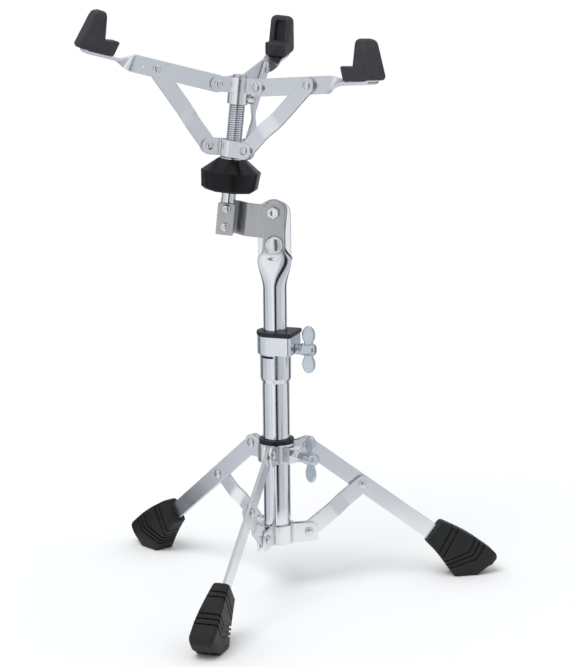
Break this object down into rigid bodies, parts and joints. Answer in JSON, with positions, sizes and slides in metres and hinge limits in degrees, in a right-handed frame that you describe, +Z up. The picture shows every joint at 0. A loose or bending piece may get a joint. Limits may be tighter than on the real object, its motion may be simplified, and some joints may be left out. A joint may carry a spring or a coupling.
{
  "type": "snare drum stand",
  "caption": "Folding snare drum stand: flat-strip tripod, telescoping tube with clamp, tilting head and a basket of arms with rubber grips that closes by a threaded knob.",
  "frame": {"origin": "on the floor, below the middle of the bounding box of the stand as pictured", "axes": "+Z up along the base tube; -Y towards the viewer of the picture; +X to the picture's right"},
  "size_m": [0.3884, 0.3742, 0.5493],
  "materials": {
    "tube_chrome": "bright plated, polished",
    "hardware_chrome": "cast and plated, soft highlights",
    "plated_strip": "plated steel strip, slightly hazy",
    "satin_steel": "satin",
    "rubber": "matte, moulded",
    "black_nylon": "moulded, dull",
    "knob_plastic": "moulded, semi-gloss"
  },
  "bodies": {
    "stand": {"base_tube": "tube_chrome", "lower_bracket": "plated_strip", "bracket_rivet_1": "hardware_chrome", "bracket_rivet_2": "hardware_chrome", "bracket_rivet_3": "hardware_chrome", "height_clamp": "tube_chrome", "height_bushing": "black_nylon"},
    "brace_1": {"brace_1": "plated_strip", "brace_rivet_1": "hardware_chrome"},
    "brace_2": {"brace_2": "plated_strip", "brace_rivet_2": "hardware_chrome"},
    "brace_3": {"brace_3": "plated_strip", "brace_rivet_3": "hardware_chrome"},
    "leg_1": {"leg_1": "plated_strip", "foot_1": "rubber"},
    "leg_2": {"leg_2": "plated_strip", "foot_2": "rubber"},
    "leg_3": {"leg_3": "plated_strip", "foot_3": "rubber"},
    "leg_collar": {"leg_collar": "plated_strip", "leg_collar_bush": "black_nylon", "collar_rivet_1": "hardware_chrome", "collar_rivet_2": "hardware_chrome", "collar_rivet_3": "hardware_chrome"},
    "leg_wing_bolt": {"leg_wing_bolt": "hardware_chrome"},
    "height_wing_bolt": {"height_wing_bolt": "hardware_chrome"},
    "tube_guide": {"tube_guide": "black_nylon"},
    "upper_tube": {"upper_tube": "tube_chrome", "tilter_pivot_bolt": "hardware_chrome", "tilter_pivot_nut": "hardware_chrome", "tilter_lock_bolt": "hardware_chrome"},
    "tilter_wing_nut": {"tilter_wing_nut": "hardware_chrome"},
    "tilter": {"tilter_plate": "satin_steel", "rod_clamp_plate": "satin_steel", "rod_screw_1": "hardware_chrome", "rod_screw_2": "hardware_chrome", "basket_rod": "tube_chrome", "top_hub": "plated_strip", "hub_set_screw": "hardware_chrome", "hub_rivet_1": "hardware_chrome", "hub_rivet_2": "hardware_chrome", "hub_rivet_3": "hardware_chrome"},
    "slider": {"slider": "plated_strip", "slider_washer": "hardware_chrome", "slider_rivet_1": "hardware_chrome", "slider_rivet_2": "hardware_chrome", "slider_rivet_3": "hardware_chrome"},
    "knob": {"knob": "knob_plastic"},
    "arm_1": {"basket_arm_1": "plated_strip", "grip_1": "rubber", "arm_rivet_1": "hardware_chrome"},
    "arm_2": {"basket_arm_2": "plated_strip", "grip_2": "rubber", "arm_rivet_2": "hardware_chrome"},
    "arm_3": {"basket_arm_3": "plated_strip", "grip_3": "rubber", "arm_rivet_3": "hardware_chrome"},
    "strut_1": {"strut_1": "plated_strip"},
    "strut_2": {"strut_2": "plated_strip"},
    "strut_3": {"strut_3": "plated_strip"}
  },
  "joints": [
    {"name": "tripod_fold", "type": "hinge", "parent": "stand", "child": "brace_1", "pos_m": [0.00968, 0.02428, 0.0555], "axis": [0.1771, -0.9842, 0], "range_deg": [-12, 44]},
    {"name": "leg_1_fold", "type": "hinge", "parent": "brace_1", "child": "leg_1", "pos_m": [0.06262, 0.03381, 0.09677], "axis": [-0.1771, 0.9842, 0], "range_deg": [-24, 88]},
    {"name": "collar_level", "type": "hinge", "parent": "leg_1", "child": "leg_collar", "pos_m": [0.00968, 0.02428, 0.13805], "axis": [0.1771, -0.9842, 0], "range_deg": [-12, 44]},
    {"name": "leg_2_fold", "type": "hinge", "parent": "leg_collar", "child": "leg_2", "pos_m": [-0.03758, 0.0413, 0.13805], "axis": [-0.7638, -0.6455, 0], "range_deg": [-12, 44]},
    {"name": "leg_3_fold", "type": "hinge", "parent": "leg_collar", "child": "leg_3", "pos_m": [-0.02868, -0.00814, 0.13805], "axis": [0.9409, -0.3387, 0], "range_deg": [-12, 44]},
    {"name": "brace_2_fold", "type": "hinge", "parent": "stand", "child": "brace_2", "pos_m": [-0.03758, 0.0413, 0.0555], "axis": [0.7638, 0.6455, 0], "range_deg": [-12, 44]},
    {"name": "brace_3_fold", "type": "hinge", "parent": "stand", "child": "brace_3", "pos_m": [-0.02868, -0.00814, 0.0555], "axis": [-0.9409, 0.3387, 0], "range_deg": [-12, 44]},
    {"name": "leg_bolt_turn", "type": "hinge", "parent": "leg_collar", "child": "leg_wing_bolt", "pos_m": [-0.01886, 0.01915, 0.13505], "axis": [0.6455, -0.7638, 0], "range_deg": [0, 720]},
    {"name": "height_bolt_turn", "type": "hinge", "parent": "stand", "child": "height_wing_bolt", "pos_m": [-0.01886, 0.01915, 0.2332], "axis": [0.9397, -0.342, 0], "range_deg": [0, 720]},
    {"name": "height_slide", "type": "slide", "parent": "stand", "child": "tube_guide", "axis": [0, 0, 1], "range_m": [-0.036, 0.09]},
    {"name": "top_swivel", "type": "hinge", "parent": "tube_guide", "child": "upper_tube", "pos_m": [-0.01886, 0.01915, 0], "axis": [0, 0, 1], "continuous": true},
    {"name": "tilt", "type": "hinge", "parent": "upper_tube", "child": "tilter", "pos_m": [-0.01886, 0.01915, 0.3606], "axis": [-0.1323, -0.9912, 0], "range_deg": [-7, 7]},
    {"name": "tilter_nut_turn", "type": "hinge", "parent": "upper_tube", "child": "tilter_wing_nut", "pos_m": [-0.01825, 0.02371, 0.3306], "axis": [0.1323, 0.9912, 0], "range_deg": [0, 720]},
    {"name": "knob_turn", "type": "hinge", "parent": "slider", "child": "knob", "pos_m": [-0.05958, 0.02458, 0.38065], "axis": [0.1071, -0.0143, 0.9942], "range_deg": [-1080.2, 1800.2]},
    {"name": "slider_lift", "type": "slide", "parent": "tilter", "child": "slider", "axis": [0.1071, -0.0143, 0.9942], "range_m": [-0.006, 0.01]},
    {"name": "arm_1_fold", "type": "hinge", "parent": "tilter", "child": "arm_1", "pos_m": [-0.03282, 0.00917, 0.47562], "axis": [-0.6463, -0.7608, 0.0587], "range_deg": [-7.15, 11.9]},
    {"name": "arm_2_fold", "type": "hinge", "parent": "tilter", "child": "arm_2", "pos_m": [-0.0432, 0.04395, 0.47724], "axis": [0.9555, -0.2749, -0.1068], "range_deg": [-7.15, 11.9]},
    {"name": "arm_3_fold", "type": "hinge", "parent": "tilter", "child": "arm_3", "pos_m": [-0.06926, 0.01561, 0.47964], "axis": [-0.3475, 0.9363, 0.0509], "range_deg": [-7.15, 11.9]},
    {"name": "strut_1_fold", "type": "hinge", "parent": "arm_1", "child": "strut_1", "pos_m": [0.01272, -0.02917, 0.48008], "axis": [-0.6463, -0.7608, 0.0587], "range_deg": [-9.72, 5.84]},
    {"name": "strut_2_fold", "type": "hinge", "parent": "arm_2", "child": "strut_2", "pos_m": [-0.02597, 0.10042, 0.48611], "axis": [0.9555, -0.2749, -0.1068], "range_deg": [-9.72, 5.84]},
    {"name": "strut_3_fold", "type": "hinge", "parent": "arm_3", "child": "strut_3", "pos_m": [-0.12306, -0.00519, 0.49505], "axis": [-0.3475, 0.9363, 0.0509], "range_deg": [-9.72, 5.84]}
  ],
  "couplings": [
    {"joint": "leg_1_fold", "follows": "tripod_fold", "ratio": 2},
    {"joint": "collar_level", "follows": "tripod_fold", "ratio": 1},
    {"joint": "leg_2_fold", "follows": "tripod_fold", "ratio": 1},
    {"joint": "leg_3_fold", "follows": "tripod_fold", "ratio": 1},
    {"joint": "brace_2_fold", "follows": "tripod_fold", "ratio": 1},
    {"joint": "brace_3_fold", "follows": "tripod_fold", "ratio": 1},
    {"joint": "knob_turn", "follows": "slider_lift", "rad_per_m": 3141.6},
    {"joint": "arm_1_fold", "follows": "slider_lift", "rad_per_m": 20.75},
    {"joint": "arm_2_fold", "follows": "slider_lift", "rad_per_m": 20.75},
    {"joint": "arm_3_fold", "follows": "slider_lift", "rad_per_m": 20.75},
    {"joint": "strut_1_fold", "follows": "slider_lift", "rad_per_m": -16.95},
    {"joint": "strut_2_fold", "follows": "slider_lift", "rad_per_m": -16.95},
    {"joint": "strut_3_fold", "follows": "slider_lift", "rad_per_m": -16.95}
  ]
}
